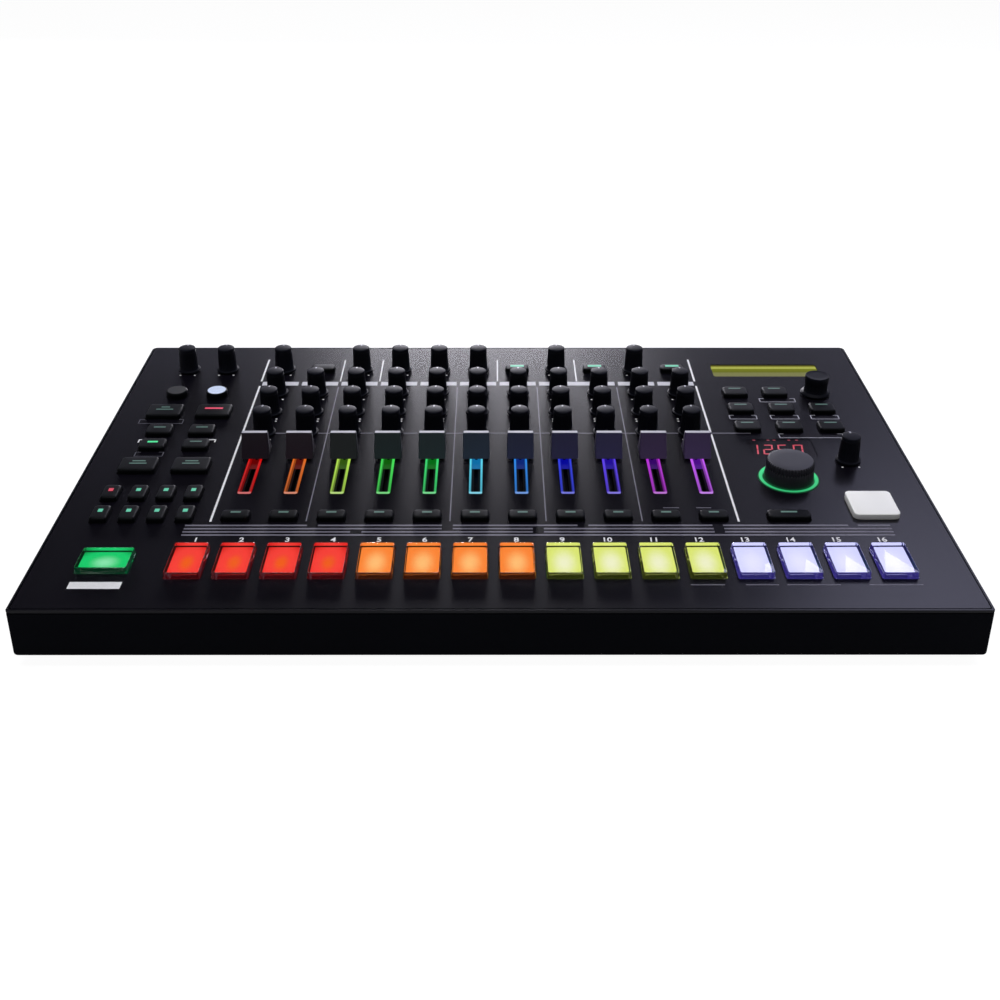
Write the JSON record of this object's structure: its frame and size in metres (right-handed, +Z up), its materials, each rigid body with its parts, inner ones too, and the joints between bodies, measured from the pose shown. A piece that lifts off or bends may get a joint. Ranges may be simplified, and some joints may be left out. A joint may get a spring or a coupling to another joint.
{
  "type": "drum machine",
  "caption": "Tabletop rhythm machine with lit step pads, channel faders, rotary knobs, keys and displays on a tilted panel.",
  "frame": {"origin": "centre of the footprint, on the surface it stands on", "axes": "+X to the player's right, +Y to the rear sockets, +Z up; the panel rises to the rear by 3.7 degrees"},
  "size_m": [0.409, 0.263, 0.0577],
  "materials": {
    "case_plastic": "fine moulded texture, near black",
    "panel_paint": "satin black paint with white print",
    "frame_plastic": "satin",
    "rear_plate": "satin black",
    "foot_rubber": "soft",
    "screw_steel": "black zinc",
    "board_green": "solder mask",
    "pot_metal": "plated",
    "light_guide": "lit clear acrylic",
    "display_glass": "backlit window",
    "tempo_glass": "smoked window over red digits",
    "strike_silicone": "smooth white silicone",
    "socket_plastic": "moulded, with nickel nuts",
    "knob_rubber": "soft-touch black",
    "key_rubber": "satin silicone with lit mark",
    "fader_plastic": "satin",
    "pad_red": "lit clear cap",
    "pad_orange": "lit clear cap",
    "pad_yellow": "lit clear cap",
    "pad_white": "lit clear cap",
    "pad_green": "lit clear cap"
  },
  "bodies": {
    "case": {"bottom_case": "case_plastic", "upper_frame": "frame_plastic", "top_panel": "panel_paint", "rear_panel": "rear_plate", "rubber_feet": "foot_rubber", "screws": "screw_steel", "control_board": "board_green", "main_board": "board_green", "potentiometers": "pot_metal", "light_guides": "light_guide", "display_module": "display_glass", "tempo_display": "tempo_glass", "strike_pad": "strike_silicone", "audio_jacks": "socket_plastic", "data_sockets": "socket_plastic", "channel_knobs": "knob_rubber"},
    "volume_knob": {"volume_knob": "knob_rubber"},
    "input_knob": {"input_knob": "knob_rubber"},
    "accent_knob": {"accent_knob": "knob_rubber"},
    "reverb_knob": {"reverb_knob": "knob_rubber"},
    "delay_level_knob": {"delay_level_knob": "knob_rubber"},
    "delay_time_knob": {"delay_time_knob": "knob_rubber"},
    "delay_feedback_knob": {"delay_feedback_knob": "knob_rubber"},
    "master_effect_knob": {"master_effect_knob": "knob_rubber"},
    "fill_knob": {"fill_knob": "knob_rubber"},
    "shuffle_knob": {"shuffle_knob": "knob_rubber"},
    "value_knob": {"value_knob": "knob_rubber"},
    "tempo_knob": {"tempo_knob": "knob_rubber"},
    "fader_cap_01": {"fader_cap_01": "fader_plastic"},
    "fader_cap_02": {"fader_cap_02": "fader_plastic"},
    "fader_cap_03": {"fader_cap_03": "fader_plastic"},
    "fader_cap_04": {"fader_cap_04": "fader_plastic"},
    "fader_cap_05": {"fader_cap_05": "fader_plastic"},
    "fader_cap_06": {"fader_cap_06": "fader_plastic"},
    "fader_cap_07": {"fader_cap_07": "fader_plastic"},
    "fader_cap_08": {"fader_cap_08": "fader_plastic"},
    "fader_cap_09": {"fader_cap_09": "fader_plastic"},
    "fader_cap_10": {"fader_cap_10": "fader_plastic"},
    "fader_cap_11": {"fader_cap_11": "fader_plastic"},
    "step_pad_01": {"step_pad_01": "pad_red"},
    "step_pad_02": {"step_pad_02": "pad_red"},
    "step_pad_03": {"step_pad_03": "pad_red"},
    "step_pad_04": {"step_pad_04": "pad_red"},
    "step_pad_05": {"step_pad_05": "pad_orange"},
    "step_pad_06": {"step_pad_06": "pad_orange"},
    "step_pad_07": {"step_pad_07": "pad_orange"},
    "step_pad_08": {"step_pad_08": "pad_orange"},
    "step_pad_09": {"step_pad_09": "pad_yellow"},
    "step_pad_10": {"step_pad_10": "pad_yellow"},
    "step_pad_11": {"step_pad_11": "pad_yellow"},
    "step_pad_12": {"step_pad_12": "pad_yellow"},
    "step_pad_13": {"step_pad_13": "pad_white"},
    "step_pad_14": {"step_pad_14": "pad_white"},
    "step_pad_15": {"step_pad_15": "pad_white"},
    "step_pad_16": {"step_pad_16": "pad_white"},
    "start_stop_pad": {"start_stop_pad": "pad_green"},
    "left_keys": {"left_keys": "key_rubber"},
    "channel_keys": {"channel_keys": "key_rubber"},
    "right_keys": {"right_keys": "key_rubber"},
    "power_button": {"power_button": "socket_plastic"}
  },
  "joints": [
    {"name": "volume_knob_turn", "type": "hinge", "parent": "case", "child": "volume_knob", "pos_m": [-0.1764, 0.09992, 0.04297], "axis": [0, -0.0645, 0.9979], "range_deg": [-150, 150]},
    {"name": "input_knob_turn", "type": "hinge", "parent": "case", "child": "input_knob", "pos_m": [-0.1544, 0.09992, 0.04297], "axis": [0, -0.0645, 0.9979], "range_deg": [-150, 150]},
    {"name": "accent_knob_turn", "type": "hinge", "parent": "case", "child": "accent_knob", "pos_m": [-0.12205, 0.09992, 0.04297], "axis": [0, -0.0645, 0.9979], "range_deg": [-150, 150]},
    {"name": "reverb_knob_turn", "type": "hinge", "parent": "case", "child": "reverb_knob", "pos_m": [-0.07785, 0.09992, 0.04297], "axis": [0, -0.0645, 0.9979], "range_deg": [-150, 150]},
    {"name": "delay_level_knob_turn", "type": "hinge", "parent": "case", "child": "delay_level_knob", "pos_m": [-0.05575, 0.09992, 0.04297], "axis": [0, -0.0645, 0.9979], "range_deg": [-150, 150]},
    {"name": "delay_time_knob_turn", "type": "hinge", "parent": "case", "child": "delay_time_knob", "pos_m": [-0.03365, 0.09992, 0.04297], "axis": [0, -0.0645, 0.9979], "range_deg": [-150, 150]},
    {"name": "delay_feedback_knob_turn", "type": "hinge", "parent": "case", "child": "delay_feedback_knob", "pos_m": [-0.01155, 0.09992, 0.04297], "axis": [0, -0.0645, 0.9979], "range_deg": [-150, 150]},
    {"name": "master_effect_knob_turn", "type": "hinge", "parent": "case", "child": "master_effect_knob", "pos_m": [0.03265, 0.09992, 0.04297], "axis": [0, -0.0645, 0.9979], "range_deg": [-150, 150]},
    {"name": "fill_knob_turn", "type": "hinge", "parent": "case", "child": "fill_knob", "pos_m": [0.07685, 0.09992, 0.04297], "axis": [0, -0.0645, 0.9979], "range_deg": [-150, 150]},
    {"name": "shuffle_knob_turn", "type": "hinge", "parent": "case", "child": "shuffle_knob", "pos_m": [0.174, -0.00566, 0.03614], "axis": [0, -0.0645, 0.9979], "range_deg": [-150, 150]},
    {"name": "value_knob_turn", "type": "hinge", "parent": "case", "child": "value_knob", "pos_m": [0.1742, 0.06968, 0.04101], "axis": [0, -0.0645, 0.9979], "continuous": true},
    {"name": "tempo_knob_turn", "type": "hinge", "parent": "case", "child": "tempo_knob", "pos_m": [0.1409, -0.02263, 0.03504], "axis": [0, -0.0645, 0.9979], "continuous": true},
    {"name": "fader_01_slide", "type": "slide", "parent": "case", "child": "fader_cap_01", "axis": [0, 0.9979, 0.0645], "range_m": [-0.0349, 0]},
    {"name": "fader_02_slide", "type": "slide", "parent": "case", "child": "fader_cap_02", "axis": [0, 0.9979, 0.0645], "range_m": [-0.0349, 0]},
    {"name": "fader_03_slide", "type": "slide", "parent": "case", "child": "fader_cap_03", "axis": [0, 0.9979, 0.0645], "range_m": [-0.0349, 0]},
    {"name": "fader_04_slide", "type": "slide", "parent": "case", "child": "fader_cap_04", "axis": [0, 0.9979, 0.0645], "range_m": [-0.0349, 0]},
    {"name": "fader_05_slide", "type": "slide", "parent": "case", "child": "fader_cap_05", "axis": [0, 0.9979, 0.0645], "range_m": [-0.0349, 0]},
    {"name": "fader_06_slide", "type": "slide", "parent": "case", "child": "fader_cap_06", "axis": [0, 0.9979, 0.0645], "range_m": [-0.0349, 0]},
    {"name": "fader_07_slide", "type": "slide", "parent": "case", "child": "fader_cap_07", "axis": [0, 0.9979, 0.0645], "range_m": [-0.0349, 0]},
    {"name": "fader_08_slide", "type": "slide", "parent": "case", "child": "fader_cap_08", "axis": [0, 0.9979, 0.0645], "range_m": [-0.0349, 0]},
    {"name": "fader_09_slide", "type": "slide", "parent": "case", "child": "fader_cap_09", "axis": [0, 0.9979, 0.0645], "range_m": [-0.0349, 0]},
    {"name": "fader_10_slide", "type": "slide", "parent": "case", "child": "fader_cap_10", "axis": [0, 0.9979, 0.0645], "range_m": [-0.0349, 0]},
    {"name": "fader_11_slide", "type": "slide", "parent": "case", "child": "fader_cap_11", "axis": [0, 0.9979, 0.0645], "range_m": [-0.0349, 0]},
    {"name": "step_pad_01_press", "type": "slide", "parent": "case", "child": "step_pad_01", "axis": [0, -0.0645, 0.9979], "range_m": [-0.001, 0], "stiffness_N_per_m": 400, "springref_m": 0.0005},
    {"name": "step_pad_02_press", "type": "slide", "parent": "case", "child": "step_pad_02", "axis": [0, -0.0645, 0.9979], "range_m": [-0.001, 0], "stiffness_N_per_m": 400, "springref_m": 0.0005},
    {"name": "step_pad_03_press", "type": "slide", "parent": "case", "child": "step_pad_03", "axis": [0, -0.0645, 0.9979], "range_m": [-0.001, 0], "stiffness_N_per_m": 400, "springref_m": 0.0005},
    {"name": "step_pad_04_press", "type": "slide", "parent": "case", "child": "step_pad_04", "axis": [0, -0.0645, 0.9979], "range_m": [-0.001, 0], "stiffness_N_per_m": 400, "springref_m": 0.0005},
    {"name": "step_pad_05_press", "type": "slide", "parent": "case", "child": "step_pad_05", "axis": [0, -0.0645, 0.9979], "range_m": [-0.001, 0], "stiffness_N_per_m": 400, "springref_m": 0.0005},
    {"name": "step_pad_06_press", "type": "slide", "parent": "case", "child": "step_pad_06", "axis": [0, -0.0645, 0.9979], "range_m": [-0.001, 0], "stiffness_N_per_m": 400, "springref_m": 0.0005},
    {"name": "step_pad_07_press", "type": "slide", "parent": "case", "child": "step_pad_07", "axis": [0, -0.0645, 0.9979], "range_m": [-0.001, 0], "stiffness_N_per_m": 400, "springref_m": 0.0005},
    {"name": "step_pad_08_press", "type": "slide", "parent": "case", "child": "step_pad_08", "axis": [0, -0.0645, 0.9979], "range_m": [-0.001, 0], "stiffness_N_per_m": 400, "springref_m": 0.0005},
    {"name": "step_pad_09_press", "type": "slide", "parent": "case", "child": "step_pad_09", "axis": [0, -0.0645, 0.9979], "range_m": [-0.001, 0], "stiffness_N_per_m": 400, "springref_m": 0.0005},
    {"name": "step_pad_10_press", "type": "slide", "parent": "case", "child": "step_pad_10", "axis": [0, -0.0645, 0.9979], "range_m": [-0.001, 0], "stiffness_N_per_m": 400, "springref_m": 0.0005},
    {"name": "step_pad_11_press", "type": "slide", "parent": "case", "child": "step_pad_11", "axis": [0, -0.0645, 0.9979], "range_m": [-0.001, 0], "stiffness_N_per_m": 400, "springref_m": 0.0005},
    {"name": "step_pad_12_press", "type": "slide", "parent": "case", "child": "step_pad_12", "axis": [0, -0.0645, 0.9979], "range_m": [-0.001, 0], "stiffness_N_per_m": 400, "springref_m": 0.0005},
    {"name": "step_pad_13_press", "type": "slide", "parent": "case", "child": "step_pad_13", "axis": [0, -0.0645, 0.9979], "range_m": [-0.001, 0], "stiffness_N_per_m": 400, "springref_m": 0.0005},
    {"name": "step_pad_14_press", "type": "slide", "parent": "case", "child": "step_pad_14", "axis": [0, -0.0645, 0.9979], "range_m": [-0.001, 0], "stiffness_N_per_m": 400, "springref_m": 0.0005},
    {"name": "step_pad_15_press", "type": "slide", "parent": "case", "child": "step_pad_15", "axis": [0, -0.0645, 0.9979], "range_m": [-0.001, 0], "stiffness_N_per_m": 400, "springref_m": 0.0005},
    {"name": "step_pad_16_press", "type": "slide", "parent": "case", "child": "step_pad_16", "axis": [0, -0.0645, 0.9979], "range_m": [-0.001, 0], "stiffness_N_per_m": 400, "springref_m": 0.0005},
    {"name": "start_stop_press", "type": "slide", "parent": "case", "child": "start_stop_pad", "axis": [0, -0.0645, 0.9979], "range_m": [-0.001, 0], "stiffness_N_per_m": 400, "springref_m": 0.0005},
    {"name": "left_keys_press", "type": "slide", "parent": "case", "child": "left_keys", "axis": [0, -0.0645, 0.9979], "range_m": [-0.0008, 0], "stiffness_N_per_m": 1500, "springref_m": 0.0005},
    {"name": "channel_keys_press", "type": "slide", "parent": "case", "child": "channel_keys", "axis": [0, -0.0645, 0.9979], "range_m": [-0.0008, 0], "stiffness_N_per_m": 1500, "springref_m": 0.0005},
    {"name": "right_keys_press", "type": "slide", "parent": "case", "child": "right_keys", "axis": [0, -0.0645, 0.9979], "range_m": [-0.0008, 0], "stiffness_N_per_m": 1500, "springref_m": 0.0005},
    {"name": "power_button_press", "type": "slide", "parent": "case", "child": "power_button", "axis": [0, 1, 0], "range_m": [-0.002, 0], "stiffness_N_per_m": 400, "springref_m": 0.0005}
  ]
}
